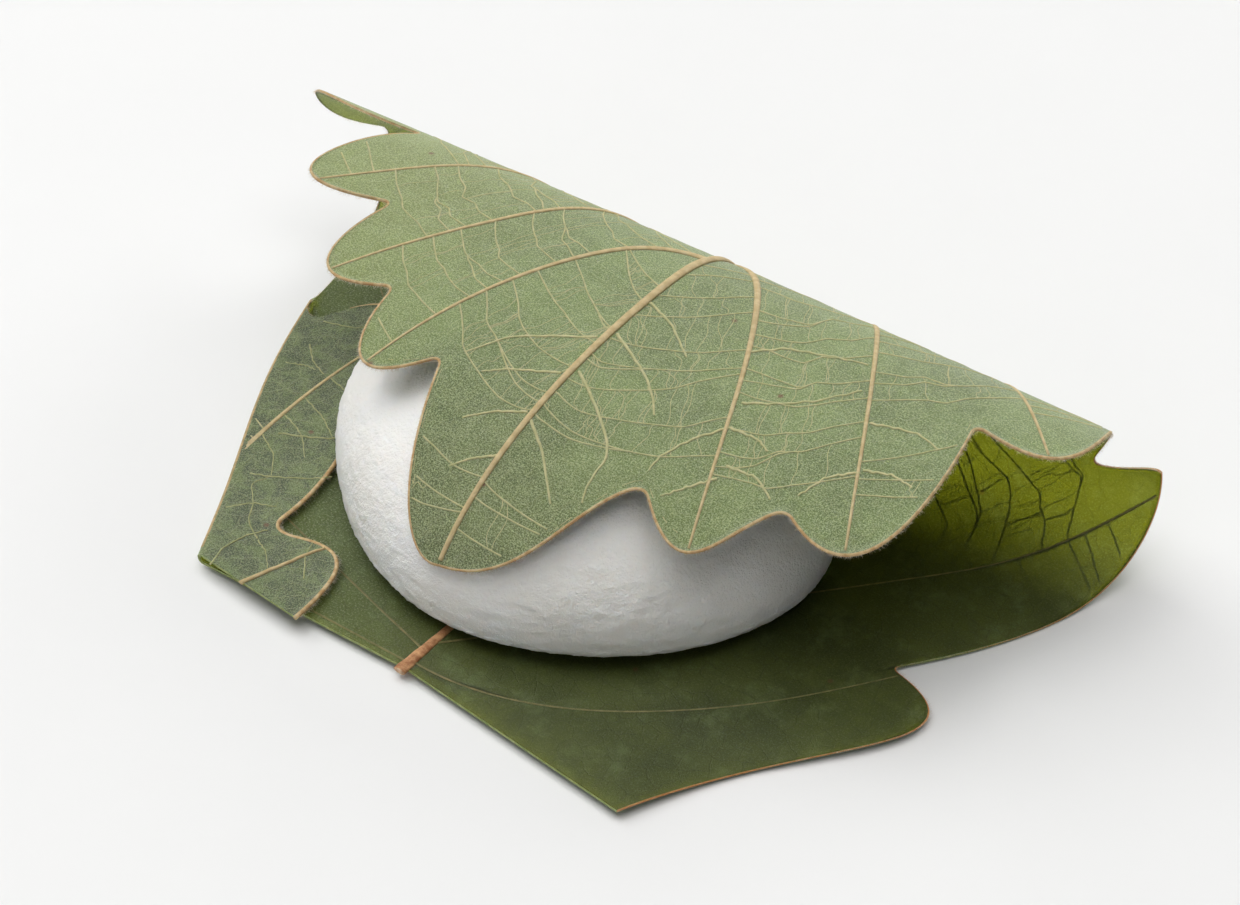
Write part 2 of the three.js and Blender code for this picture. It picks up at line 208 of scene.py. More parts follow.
def half_leaf(side, curves, veins, free_from, wide_notch=0):
    """One half: its curves with all four corners, and each one's share of length at even steps of t. Every
    corner between two curves is rounded alike, but for one wider notch."""
    first = np.array(curves, float)
    last = np.concatenate([first[1:, 0], [LEAF_TIP]])
    corners = np.concatenate([first, last[:, None]], axis=1)
    t = np.linspace(0, 1, 201)
    points = bezier(corners[:, None], np.broadcast_to(t, (len(corners), 201)))
    steps = np.linalg.norm(np.diff(points, axis=1), axis=-1)
    lengths = np.concatenate([np.zeros((len(corners), 1)), np.cumsum(steps, axis=1)], axis=1)
    shares = lengths / lengths[:, -1:]
    is_wide = (np.arange(len(corners)) == wide_notch) & (wide_notch > 0)
    rounding = np.where(is_wide, WIDE_ROUNDING, CORNER_ROUNDING)
    return {"side": side, "corners": corners, "shares": shares, "t": t, "veins": veins,
            "free_from": free_from, "lengths": lengths[:, -1], "rounding": rounding}


RIGHT = half_leaf(1, RIGHT_CURVES, RIGHT_VEINS, 0)
LEFT = half_leaf(-1, LEFT_CURVES, LEFT_VEINS, 4, 1)
NECK = 3  # the left curve whose rows bend between its two ends


def margin_at(half, place):
    """The margin at a place: curve number plus share of its length, read back to the curve's own t. Each
    corner between two curves is rounded by (1-u)^2 a + 2u(1-u) corner + u^2 b, from a before to b after."""
    count = len(half["corners"])

    def on_curve(number, share):
        t = np.zeros(np.shape(share))
        for k in range(count):
            t = np.where(number == k, np.interp(share, half["shares"][k], half["t"]), t)
        return bezier(half["corners"][number], t)

    number = np.clip(np.floor(place).astype(int), 0, count - 1)
    margin = on_curve(number, place - number)
    corner = np.clip(np.round(place).astype(int), 1, count - 1)
    before, after = (half["rounding"][corner] / half["lengths"][corner - k] for k in (1, 0))
    u = 0.5 + 0.5 * (place - corner) / np.where(place < corner, before, after)
    a, b = on_curve(corner - 1, 1 - before), on_curve(corner, after)
    w = np.clip(u, 0, 1)[..., None]
    rounded = (1 - w) ** 2 * a + 2 * w * (1 - w) * half["corners"][corner, 0] + w * w * b
    return np.where(((u > 0) & (u < 1))[..., None], rounded, margin)


CREASE_SPAN = CREASE_HEAD - CREASE_FOOT
CREASE_WAY = CREASE_SPAN / np.hypot(*CREASE_SPAN)
CREASE_AWAY = beside(CREASE_WAY)


def crease_sway(share):
    """How far the crease sways outwards: bulge * sin(pi u) - wave * sin(2 pi u)."""
    turn = np.pi * np.clip(share, 0, 1)
    return CREASE_BULGE * np.sin(turn) - CREASE_WAVE * np.sin(2 * turn)


def beyond_crease(flat):
    """How far a flat point lies past the crease: its distance across it, less the sway there."""
    start = flat - CREASE_FOOT
    return start @ CREASE_AWAY - crease_sway(start @ CREASE_WAY / np.hypot(*CREASE_SPAN))


def row_lines(half, place):
    """Each row's foot on the midrib, its bend, its end on the margin, and its bow."""
    places, feet, bows = half["veins"].T
    foot = np.stack([np.zeros(np.shape(place)), np.interp(place, places, feet)], axis=-1)
    margin = margin_at(half, place)
    bend = mix(foot, margin, mix(ROW_BEND_LATE, ROW_BEND, smooth(2 * (place - half["free_from"])))[..., None])
    if half["side"] < 0:
        share = np.interp(place, CREASE_CROSSINGS[:, 0], CREASE_CROSSINGS[:, 1])[..., None]
        on_crease = CREASE_FOOT + CREASE_SPAN * share + CREASE_AWAY * crease_sway(share)
        bend = np.where((place <= CREASE_CROSSINGS[-1, 0])[..., None], on_crease, bend)
        chord = mix(half["corners"][NECK, 0], half["corners"][NECK, 3], (place - NECK)[..., None])
        bend = np.where(((place >= NECK) & (place < NECK + 1))[..., None], chord, bend)
    return foot, bend, margin, np.interp(place, places, bows)


def flat_at(half, place, share):
    """The flat point a share of the way along a row: on its two straight stretches, then let down
    towards the base by bow * rise * t(1-t), where t is the share of the row's reach."""
    place, share = np.broadcast_arrays(np.asarray(place, float), np.asarray(share, float))
    foot, bend, margin, bow = row_lines(half, place)
    first = np.linalg.norm(bend - foot, axis=-1)
    second = np.linalg.norm(margin - bend, axis=-1)
    run = share * (first + second)
    up_to = np.clip(run / np.maximum(first, 1e-9), 0, 1)[..., None]
    beyond = np.clip((run - first) / np.maximum(second, 1e-9), 0, 1)[..., None]
    flat = foot + (bend - foot) * up_to + (margin - bend) * beyond
    t = np.clip(flat[..., 0] / np.maximum(margin[..., 0], 1e-6), 0, 1)
    flat[..., 1] -= bow * (margin[..., 1] - foot[..., 1]) * t * (1 - t)
    return flat


def swell_at(half, place, flat):
    """How far the blade swells inwards: pillow * sin^2(pi * veins passed) * 4t(1-t) past the roll."""
    places = half["veins"][:, 0]
    passed = np.interp(place, places, np.arange(len(places)))
    t = np.clip(flat[..., 0] / np.maximum(margin_at(half, place)[..., 0], 1e-6), 0, 1)
    covering = smooth((flat[..., 1] - PILLOW_START) / RELIEF_RUN)
    return PILLOW * np.sin(np.pi * passed) ** 2 * 4 * t * (1 - t) * covering


def clear_of_table(flat, side=1):
    """0 where the leaf's outer face lies on the table, and 1 where it stands off it or is turned in."""
    clear = smooth((flat[..., 1] - RELIEF_START) / RELIEF_RUN)
    return np.maximum(clear, smooth((beyond_crease(flat) - 1.5) / 2.5)) if side < 0 else clear


# ---- the bent leaf ----
def slope(out, run):
    """The leaf's slope in radians: half a turn over the roll, then a droop of the first and third power
    of the run past it, and more droop towards the sides."""
    start = ROLL_START + ROLL_SKEW * out
    length = ROLL_LENGTH + ROLL_WIDENING * out - ROLL_PINCH * out * out
    end = start + length
    past = np.maximum(run - end, 0) / (COVER_END - end)
    side = (out / SIDE_REACH) ** 2
    hang = DROOP * past + TIP_DROOP * past**3
    hang = hang + SIDE_DROOP * side / (1 + SIDE_EASE * side) * smooth(past / SIDE_SETTLED)
    return np.pi * smooth((run - start) / length) + np.radians(hang)


def bent_place(out, run):
    """The middle of the bent sheet: sums of cos and sin of the slope over the run below the point."""
    forward, up = np.zeros(np.shape(run)), np.zeros(np.shape(run))
    for step in (np.arange(BEND_STEPS) + 0.5) / BEND_STEPS:
        angle = slope(out, run * step)
        forward += np.cos(angle)
        up += np.sin(angle)
    reach = np.maximum(run, 0) / BEND_STEPS
    place = np.stack([out, forward * reach + np.minimum(run, 0), up * reach + LEAF_THICKNESS / 2], axis=-1)
    return place, slope(out, run)


def leaf_point(side, flat, depth):
    """A point of the finished leaf in metres. Past the crease the sheet turns over round a small radius;
    then it is bent, and depth is measured from the middle of the sheet to its inside."""
    past = beyond_crease(flat) if side < 0 else np.full(flat.shape[:-1], -1e3)
    turn = np.clip(past / CREASE_RADIUS + np.pi / 2, 0, np.pi)
    bent_to = np.where(turn < np.pi, (np.sin(turn) - np.pi / 2) * CREASE_RADIUS, -past)
    kept = flat + np.where(turn > 0, bent_to - past, 0)[..., None] * CREASE_AWAY
    place, angle = bent_place(side * kept[..., 0], kept[..., 1])
    none = np.zeros(angle.shape)
    inward = np.stack([none, -np.sin(angle), np.cos(angle)], axis=-1)
    up = np.stack([none, np.cos(angle), np.sin(angle)], axis=-1)
    outward = up * CREASE_AWAY[1] + np.array([side * CREASE_AWAY[0], 0, 0])
    outer = smooth((kept[..., 0] - EDGE_LIFT_FROM) / (EDGE_LIFT_TO - EDGE_LIFT_FROM))
    lift = EDGE_LIFT * outer * smooth((EDGE_LIFT_END - kept[..., 1]) / ROLL_START)
    raised = lift + CREASE_RADIUS * (1 - np.cos(turn)) + depth * np.cos(turn)
    place = place + inward * raised[..., None] - outward * (depth * np.sin(turn))[..., None]
    base = BASE_LIFT * smooth((BASE_LIFT_START - kept[..., 1]) / BASE_LIFT_RUN)
    place = place + BASE_SLIDE * base[..., None]
    return (place + ORIGIN) / 1000


# ---- making pieces ----
def quads_of(grid, around=False):
    """The four-sided faces between neighbours of a grid of vertex numbers, over its last two axes."""
    if around:
        grid = np.concatenate([grid, grid[..., :1]], axis=-1)
    corners = [grid[..., :-1, :-1], grid[..., :-1, 1:], grid[..., 1:, 1:], grid[..., 1:, :-1]]
    return np.stack(corners, axis=-1).reshape(-1, 4)


def facing_out(points, faces):
    """The faces, turned round where the sum of their cones' volumes from the origin is below zero."""
    a, b, c, d = (points[faces[:, k]] for k in range(4))
    volume = np.einsum("ij,ij->", np.cross(b - a, c - a) + np.cross(c - a, d - a), a + b + c + d)
    return faces if volume > 0 else faces[:, ::-1]


def new_object(name, data):
    """An object at the origin, put in the scene."""
    thing = bpy.data.objects.new(name, data)
    bpy.context.scene.collection.objects.link(thing)
    return thing


def piece(name, node, points, faces, materials, flat=None, kinds=None):
    """One closed mesh of the object, smoothly shaded, with its flat place as a UV map. A face with two
    corners on one point becomes a triangle, and one with fewer than three points is left out."""
    own = faces != np.roll(faces, -1, axis=1)
    corners = own.sum(axis=1)
    three = faces[corners == 3][own[corners == 3]].reshape(-1, 3)
    mesh = bpy.data.meshes.new(name)
    mesh.from_pydata(points.reshape(-1, 3).tolist(), [], faces[corners == 4].tolist() + three.tolist())
    for material in materials:
        mesh.materials.append(material)
    mesh.polygons.foreach_set("use_smooth", np.ones(len(mesh.polygons), bool))
    if kinds is not None:
        kinds = np.concatenate([kinds[corners == 4], kinds[corners == 3]])
        mesh.polygons.foreach_set("material_index", kinds.astype(np.int32))
    if flat is not None:
        corner = np.empty(len(mesh.loops), np.int32)
        mesh.loops.foreach_get("vertex_index", corner)
        layer = mesh.uv_layers.new(name="flat leaf")
        places = flat.reshape(-1, 2)[corner] / FLAT_SPAN + 0.5
        layer.data.foreach_set("uv", places.astype(np.float32).ravel())
    mesh.update()
    thing = new_object(name, mesh)
    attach(thing, "root")
    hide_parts(node)


def leaf_piece(name, points, faces, flat, materials, kinds=None):
    """One closed mesh of the leaf."""
    piece(name, "oak_leaf", points, faces, materials, flat, kinds)


def tube_faces(points):
    """Faces of closed tubes over a grid of rings: quads between rings, and strips across both ends."""
    numbers = np.arange(points[..., 0].size).reshape(points.shape[:-1])
    sides = numbers.shape[-1]
    middle = sides // 2
    parts = [quads_of(numbers, around=True)]
    for end, order in ((numbers[..., 0, :], -1), (numbers[..., -1, :], 1)):
        strips = [end[..., 0:middle - 1], end[..., 1:middle], end[..., sides - 2:middle - 1:-1],
                  end[..., sides - 1:middle:-1]]
        parts.append(np.stack(strips, axis=-1).reshape(-1, 4)[:, ::order])
    return facing_out(points.reshape(-1, 3), np.concatenate(parts))


def joined(groups):
    """Several tube grids as one: their points, faces and flat places, one after another."""
    used = np.cumsum([0] + [points[..., 0].size for points, _ in groups])
    faces = [tube_faces(points) + start for (points, _), start in zip(groups, used)]
    points = np.concatenate([points.reshape(-1, 3) for points, _ in groups])
    return points, np.concatenate(faces), np.concatenate([flat.reshape(-1, 2) for _, flat in groups])


# ---- materials ----
def paint(red, green, blue):
    """A colour given as it looks on screen, 0 to 255, in the renderer's linear values."""
    shown = np.array([red, green, blue]) / 255
    linear = np.where(shown <= 0.04045, shown / 12.92, ((shown + 0.055) / 1.055) ** 2.4)
    return (*linear.tolist(), 1.0)


def put(tree, kind, settings=None, sockets=None):
    """A node of this kind; a socket given as an input is linked, and any other value is set."""
    made = tree.nodes.new("ShaderNode" + kind)
    for name, value in (settings or {}).items():
        setattr(made, name, value)
    for name, value in (sockets or {}).items():
        if isinstance(value, bpy.types.NodeSocket):
            tree.links.new(value, made.inputs[name])
        else:
            made.inputs[name].default_value = value
    return made


def times(tree, a, b, plus=0.0):
    """a * b + plus."""
    return put(tree, "Math", {"operation": "MULTIPLY_ADD"}, {0: a, 1: b, 2: plus}).outputs[0]


def between(tree, value, low, high, start=0.0, end=1.0):
    """The value brought smoothly from start to end as it goes from low to high."""
    sockets = {"Value": value, "From Min": low, "From Max": high, "To Min": start, "To Max": end}
    return put(tree, "MapRange", {"interpolation_type": "SMOOTHSTEP"}, sockets).outputs[0]


def tinted(tree, share, a, b):
    """Colour a where share is 0 and b where it is 1."""
    return put(tree, "Mix", {"data_type": "RGBA"}, {0: share, 6: a, 7: b}).outputs[2]


def washed(tree, base, mask, share, colour):
    """The base colour, tinted with another by a share of the mask."""
    return tinted(tree, times(tree, mask, share), base, colour)


def along(tree, place, axis):
    """One coordinate of a place."""
    return put(tree, "SeparateXYZ", None, {0: place}).outputs[axis]


def away_from(tree, place, centre):
    """The distance of a place from a centre."""
    return put(tree, "VectorMath", {"operation": "DISTANCE"}, {0: place, 1: centre}).outputs["Value"]


def new_group(name, inputs, outputs):
    """A node group with named inputs and outputs, each given with its kind."""
    tree = bpy.data.node_groups.new(name, "ShaderNodeTree")
    for label, kind in inputs.items():
        tree.interface.new_socket(label, in_out="INPUT", socket_type="NodeSocket" + kind)
    for label, kind in outputs.items():
        tree.interface.new_socket(label, in_out="OUTPUT", socket_type="NodeSocket" + kind)
    return tree, tree.nodes.new("NodeGroupInput").outputs, tree.nodes.new("NodeGroupOutput").inputs


def noise(tree, vector, scale, detail=2.0, rough=0.5, warp=0.0):
    """Noise in 0 to 1 at this many features per unit."""
    sockets = {"Vector": vector, "Scale": scale, "Detail": detail, "Roughness": rough, "Distortion": warp}
    return put(tree, "TexNoise", None, sockets).outputs[0]


def felt_group():
    """Felt of short hairs: pale flecks from a fine noise, gathered in places by a slower one."""
    tree, given, out = new_group("felt", {"Flat": "Vector"}, {"Fleck": "Float", "Height": "Float"})
    fine = noise(tree, given["Flat"], 5.0, 2.0, 0.8, 0.2)
    stroke = noise(tree, given["Flat"], 2.6, 3.0, 0.8, 0.4)
    gathered = times(tree, noise(tree, given["Flat"], 0.35, 2.0, 0.6), 0.12, -0.06)
    both = times(tree, times(tree, stroke, 0.4, gathered), 1.0, fine)
    tree.links.new(between(tree, both, 0.62, 0.84), out["Fleck"])
    tree.links.new(times(tree, stroke, 0.4, fine), out["Height"])
    return tree


def net_group():
    """The finest veins: thin lines along the borders of warped cells, in two sizes."""
    tree, given, out = new_group("vein net", {"Flat": "Vector"}, {"Lines": "Float", "Fine": "Float"})
    warp = put(tree, "TexNoise", None, {"Vector": given["Flat"], "Scale": 0.5, "Detail": 2.0})
    moved = put(tree, "VectorMath", {"operation": "MULTIPLY_ADD"},
                {0: warp.outputs["Color"], 1: (1.6, 1.6, 0.0), 2: given["Flat"]}).outputs[0]
    for label, scale, width in (("Lines", 0.34, 0.055), ("Fine", 0.95, 0.075)):
        cells = put(tree, "TexVoronoi", {"feature": "DISTANCE_TO_EDGE", "voronoi_dimensions": "2D"},
                    {"Vector": moved, "Scale": scale})
        tree.links.new(between(tree, cells.outputs["Distance"], 0.0, width, 1.0, 0.0), out[label])
    return tree


def mottle_group():
    """Slow changes of tone over the leaf, and its few brown specks."""
    tree, given, out = new_group("mottle", {"Flat": "Vector"}, {"Tone": "Float", "Specks": "Float"})
    tree.links.new(noise(tree, given["Flat"], 0.06, 4.0, 0.6), out["Tone"])
    sockets = {"Vector": given["Flat"], "Scale": 0.035}
    cells = put(tree, "TexVoronoi", {"voronoi_dimensions": "2D"}, sockets)
    tree.links.new(between(tree, cells.outputs["Distance"], 0.006, 0.02, 1.0, 0.0), out["Specks"])
    return tree


def use_group(tree, group, vector):
    """The outputs of a group fed with the flat place."""
    return put(tree, "Group", {"node_tree": group}, {"Flat": vector}).outputs


def flat_place(tree):
    """The flat place in millimetres, from the leaf's own UV map."""
    place = put(tree, "UVMap", {"uv_map": "flat leaf"}).outputs[0]
    return put(tree, "VectorMath", {"operation": "MULTIPLY_ADD"},
               {0: place, 1: (FLAT_SPAN,) * 3, 2: (-FLAT_SPAN / 2,) * 3}).outputs[0]


def new_material(name, shown, radius=(1.0, 0.6, 0.3), **sockets):
    """A material with one shader, whose constant values are set on it directly; radius is how far red,
    green and blue light spread below the surface, in shares of the scale."""
    made = bpy.data.materials.new(name)
    made.use_nodes = True
    made.diffuse_color = shown
    tree = made.node_tree
    shader = tree.nodes["Principled BSDF"]
    for label, value in sockets.items():
        shader.inputs[label.replace("_", " ")].default_value = value
    shader.inputs["Subsurface Radius"].default_value = radius
    return made, tree, shader.inputs


def bump(tree, height, distance):
    """The surface's direction, tilted by a height in the shader's own units."""
    return put(tree, "Bump", None, {"Height": height, "Distance": distance, "Strength": 1.0}).outputs[0]


def covered(made, tree, shader, colour, height, distance):
    """The material, with its colour and its relief joined to the shader."""
    tree.links.new(colour, shader["Base Color"])
    tree.links.new(bump(tree, height, distance), shader["Normal"])
    return made


FELT = felt_group()
NET = net_group()
MOTTLE = mottle_group()


def turned_in(tree, flat):
    """0 on the open leaf and 1 where it is turned in past the crease: the flat distance across the crease."""
    across = (-CREASE_AWAY[0], CREASE_AWAY[1], 0.0)
    reach = put(tree, "VectorMath", {"operation": "DOT_PRODUCT"}, {0: flat, 1: across}).outputs["Value"]
    crease = float(CREASE_FOOT @ CREASE_AWAY)
    past = between(tree, reach, crease - 0.5, crease + 2.0)
    return times(tree, past, between(tree, along(tree, flat, "X"), -30.0, -25.0, 1.0, 0.0))


def underside_material():
    """The leaf's outer face: grey-green felt over green, with a paler net and a few brown specks. Painted
    light makes the left lobes paler, and painted shade darkens the cover towards its tip. The part turned in
    past the crease is darker and cloudy, darker still at its lower end, where its pale hairs are whitened as
    painted glints."""
    made, tree, shader = new_material("leaf underside", paint(136, 150, 106), (0.75, 1.0, 0.2), Roughness=0.8,
                                      Subsurface_Weight=0.5, Subsurface_Scale=0.0012, Sheen_Weight=0.3)
    flat = flat_place(tree)
    felt, net, mottle = (use_group(tree, group, flat) for group in (FELT, NET, MOTTLE))
    green = tinted(tree, between(tree, mottle["Tone"], 0.35, 0.65), paint(84, 101, 52), paint(102, 121, 64))
    # painted shade: the cover is darkened towards its tip, which faces away from the lamps
    painted_tip_shade = between(tree, along(tree, flat, "Y"), 128.0, 158.0)
    green = washed(tree, green, painted_tip_shade, 0.4, paint(70, 68, 42))
    # painted light: the left lobes are made paler, for light that falls on them and comes through them
    painted_lobe_light = between(tree, along(tree, flat, "X"), -12.0, -44.0)
    green = washed(tree, green, painted_lobe_light, 0.5, paint(132, 140, 76))
    clouds = between(tree, noise(tree, flat, 0.3, 5.0, 0.7, 0.6), 0.42, 0.6)
    inside = tinted(tree, clouds, paint(50, 62, 36), paint(84, 100, 56))
    turned = turned_in(tree, flat)
    green = tinted(tree, turned, green, inside)
    green = washed(tree, green, net["Lines"], 0.14, paint(182, 182, 130))
    green = washed(tree, green, net["Fine"], 0.12, paint(170, 178, 126))
    # the lower end of the turned-in part is darker, and its pale hairs are whitened there as painted glints
    end = between(tree, away_from(tree, flat, (-51.0, -8.0, 0.0)), 9.0, 5.0)
    green = washed(tree, green, end, 0.8, paint(48, 50, 40))
    share = times(tree, end, -0.2, times(tree, turned, -0.25, 0.66))
    flecks = times(tree, felt["Fleck"], share)
    green = tinted(tree, flecks, green, tinted(tree, end, paint(190, 200, 154), paint(206, 204, 190)))
    green = washed(tree, green, mottle["Specks"], 0.8, paint(110, 72, 48))
    return covered(made, tree, shader, green, times(tree, net["Lines"], 0.4, felt["Height"]), 0.00012)


def upper_material():
    """The leaf's inner face: dark satin green with a fine darker net, a cloudy bloom and pale hairs; painted
    sheen makes it paler towards the left, where there are also more pale hairs."""
    made, tree, shader = new_material("leaf upper face", paint(64, 74, 26), (0.975, 1.0, 0.43), Roughness=0.5,
                                      Specular_IOR_Level=0.35, Subsurface_Weight=0.9, Subsurface_Scale=0.0032)
    flat = flat_place(tree)
    felt, net, mottle = (use_group(tree, group, flat) for group in (FELT, NET, MOTTLE))
    # painted sheen: paler towards the left; the same mask also gives more pale hairs there
    pale = between(tree, along(tree, flat, "X"), 8.0, -28.0)
    green = tinted(tree, between(tree, mottle["Tone"], 0.35, 0.65), paint(56, 64, 20), paint(72, 80, 28))
    green = washed(tree, green, pale, 0.5, paint(98, 114, 58))
    bloom = between(tree, noise(tree, flat, 0.16, 5.0, 0.7, 0.1), 0.48, 0.7)
    green = washed(tree, green, bloom, 0.3, paint(116, 132, 84))
    green = washed(tree, green, net["Lines"], 0.3, paint(46, 50, 14))
    green = washed(tree, green, net["Fine"], 0.15, paint(44, 50, 14))
    dust = between(tree, noise(tree, flat, 3.4, 3.0, 0.85), 0.5, 0.64)
    dust = times(tree, dust, times(tree, pale, 0.34, 0.1))
    green = tinted(tree, dust, green, paint(176, 188, 150))
    green = washed(tree, green, mottle["Specks"], 0.6, paint(90, 66, 40))
    return covered(made, tree, shader, green, times(tree, net["Lines"], -0.3, felt["Height"]), 0.00008)


def tan_material(name, pale, dark, rough):
    """Veins, cut edges and hairs: one colour, with darker streaks and a grain of short hairs."""
    made, tree, shader = new_material(name, pale, Roughness=rough,
                                      Subsurface_Weight=0.2, Subsurface_Scale=0.001)
    flat = flat_place(tree)
    streak = between(tree, noise(tree, flat, 0.8, 3.0, 0.6), 0.35, 0.65)
    hairs = use_group(tree, FELT, flat)["Height"]
    return covered(made, tree, shader, tinted(tree, streak, dark, pale), hairs, 0.0001)


def margin_material():
    """The rim: tan on the cover, and painted browner along the right side, standing in for light coming
    through it.
    """
    made, tree, shader = new_material("leaf margin", paint(190, 160, 116), (1.0, 0.6, 0.25), Roughness=0.75,
                                      Subsurface_Weight=0.4, Subsurface_Scale=0.001)
    flat = flat_place(tree)
    streak = between(tree, noise(tree, flat, 0.8, 3.0, 0.6), 0.35, 0.65)
    tan = tinted(tree, streak, paint(178, 144, 98), paint(206, 182, 140))
    # painted light: browner along the right side, for light coming through the rim there
    outwards = between(tree, along(tree, flat, "X"), 25.0, 45.0)
    right = times(tree, outwards, between(tree, along(tree, flat, "Y"), 98.0, 84.0))
    tan = washed(tree, tan, right, 0.75, paint(196, 124, 62))
    return covered(made, tree, shader, tan, use_group(tree, FELT, flat)["Height"], 0.0001)


def cake_material():
    """The cake's skin: almost white, finely grained, with a few faint peach stains."""
    made, tree, shader = new_material("cake skin", paint(236, 235, 231), (1.0, 0.85, 0.7), Roughness=0.5,
                                      Subsurface_Weight=0.5, Subsurface_Scale=0.002)
    place = put(tree, "TexCoord").outputs["Object"]
    slow = noise(tree, place, 60.0, 2.0, 0.5)
    white = tinted(tree, between(tree, slow, 0.35, 0.7), paint(248, 247, 244), paint(242, 240, 234))
    for centre, radius in PEACH_STAINS:
        ragged = times(tree, noise(tree, place, 500.0, 3.0, 0.6), 0.004, away_from(tree, place, centre))
        mask = between(tree, ragged, 0.001, radius + 0.002, 0.35, 0.0)
        white = tinted(tree, mask, white, paint(232, 196, 152))
    grain = noise(tree, place, 1900.0, 3.0, 0.75)
    lump = noise(tree, place, 260.0, 2.0, 0.5)
    return covered(made, tree, shader, white, times(tree, lump, 1.3, grain), 0.0004)


PEACH_STAINS = [((-0.034, -0.0165, 0.010), 0.003), ((-0.026, -0.026, 0.008), 0.002)]

LEAF_UNDERSIDE = underside_material()
LEAF_UPPER = upper_material()
OUTER_VEIN = tan_material("raised veins", paint(202, 182, 138), paint(184, 162, 118), 0.7)
CROSS_VEIN = tan_material("cross veins", paint(194, 186, 140), paint(174, 172, 124), 0.75)
TURNED_VEIN = tan_material("turned cross veins", paint(176, 174, 128), paint(146, 150, 104), 0.75)
INNER_VEIN = tan_material("inner veins", paint(126, 116, 70), paint(98, 96, 50), 0.5)
MIDRIB_INSIDE = tan_material("inner midrib", paint(198, 150, 104), paint(150, 98, 60), 0.65)
MARGIN = margin_material()
CAKE_SKIN = cake_material()
CREASE_LINE = tan_material("worn fold", paint(196, 166, 122), paint(160, 140, 96), 0.75)
STUB_END = tan_material("cut end of the midrib", paint(226, 200, 166), paint(170, 126, 90), 0.7)
LEAF_CUT = tan_material("cut edge", paint(158, 170, 112), paint(128, 146, 84), 0.7)
MARGIN_HAIR = tan_material("margin hairs", paint(222, 212, 190), paint(196, 180, 150), 0.8)


# ---- the blade ----
def place_of(half, feet):
    """The place along the margin that the row from this foot on the midrib ends at."""
    return np.interp(feet, half["veins"][:, 1], half["veins"][:, 0])


def row_feet():
    """Feet of the rows on the midrib, spaced so that both margins get rows at about even distances."""
    feet = np.linspace(0, FAN_END, 6001)
    steps = np.zeros(6000)
    for half in (RIGHT, LEFT):
        margin = margin_at(half, place_of(half, feet))
        place = place_of(half, (feet[1:] + feet[:-1]) / 2)
        near = np.exp(-((place - np.round(place)) * 25) ** 2)
        steps = np.maximum(steps, np.linalg.norm(np.diff(margin, axis=0), axis=-1) * (1 + 2.5 * near))
    walked = np.concatenate([[0], np.cumsum(steps)])
    return np.interp(np.linspace(0, walked[-1], LEAF_ROWS), walked, feet)


def blade_shares(half, place):
    """Shares along each row at which the blade's columns stand, close together near its bend."""
    foot, bend, margin, _ = row_lines(half, place)
    first = np.linalg.norm(bend - foot, axis=-1)
    second = np.linalg.norm(margin - bend, axis=-1)
    arc = np.pi / 2 * CREASE_RADIUS
    turned = (half["side"] < 0) & (place <= CREASE_CROSSINGS[-1, 0])

    def stretch(count, far, plain):
        near = np.clip(arc / np.maximum(np.abs(beyond_crease(far)), arc), 0.02, 0.5)
        close = np.where(turned, near, plain)[:, None]
        even = np.arange(count) / count * (1 - close)
        return np.concatenate([even, 1 - close * np.linspace(1, 0, CLOSE_COLUMNS + 1)[None]], axis=1)

    inner = stretch(INNER_COLUMNS, foot, 0.2)
    outer = 1 - stretch(OUTER_COLUMNS, margin, 0.3)[:, ::-1]
    whole = np.maximum(first + second, 1e-9)
    bend_share = (first / whole)[:, None]
    shares = np.concatenate([inner * bend_share, mix(bend_share, 1, outer[:, 1:])], axis=1)
    return shares * (1 - MARGIN_INSET / whole)[:, None]


def blade():
    """The leaf's blade: rows from the midrib to both margins, on an inner and an outer face half a
    thickness from the middle, joined by a wall along the edge; the last rows meet on the midrib."""
    feet = row_feet()
    sheets, swells = [], []
    for half in (LEFT, RIGHT):
        place = place_of(half, feet)
        flat = flat_at(half, place[:, None], blade_shares(half, place))
        sheets.append(flat)
        swells.append(swell_at(half, np.broadcast_to(place[:, None], flat.shape[:2]), flat))
    (left, right), (left_swell, right_swell) = sheets, swells
    half_thick = LEAF_THICKNESS / 2
    faces_points = []
    for face in (1, -1):
        left_points = leaf_point(-1, left[:, :0:-1], left_swell[:, :0:-1] + face * half_thick)
        right_points = leaf_point(1, right, right_swell + face * half_thick)
        faces_points.append(np.concatenate([left_points, right_points], axis=1))
    rows, columns = faces_points[0].shape[:2]
    numbers = np.arange(rows * columns).reshape(rows, columns)
    middle = columns // 2
    numbers[-1, :middle] = numbers[-1, :middle:-1]
    count = rows * columns
    sheet = quads_of(numbers)
    rim = np.concatenate([numbers[0, :-1], numbers[:-1, -1], [numbers[-1, -1]], numbers[-2::-1, 0]])
    wall = quads_of(np.stack([rim, rim + count]))
    faces = np.concatenate([sheet, sheet[:, ::-1] + count, wall])
    points = np.concatenate([side.reshape(-1, 3) for side in faces_points])
    flat_uv = np.concatenate([left[:, :0:-1] * [-1, 1], right], axis=1)
    kinds = np.concatenate([np.zeros(len(sheet)), np.ones(len(sheet)), np.full(len(wall), 2)])
    materials = [LEAF_UPPER, LEAF_UNDERSIDE, LEAF_CUT]
    flat = np.concatenate([flat_uv, flat_uv])
    leaf_piece("leaf_blade", points, facing_out(points, faces), flat, materials, kinds)


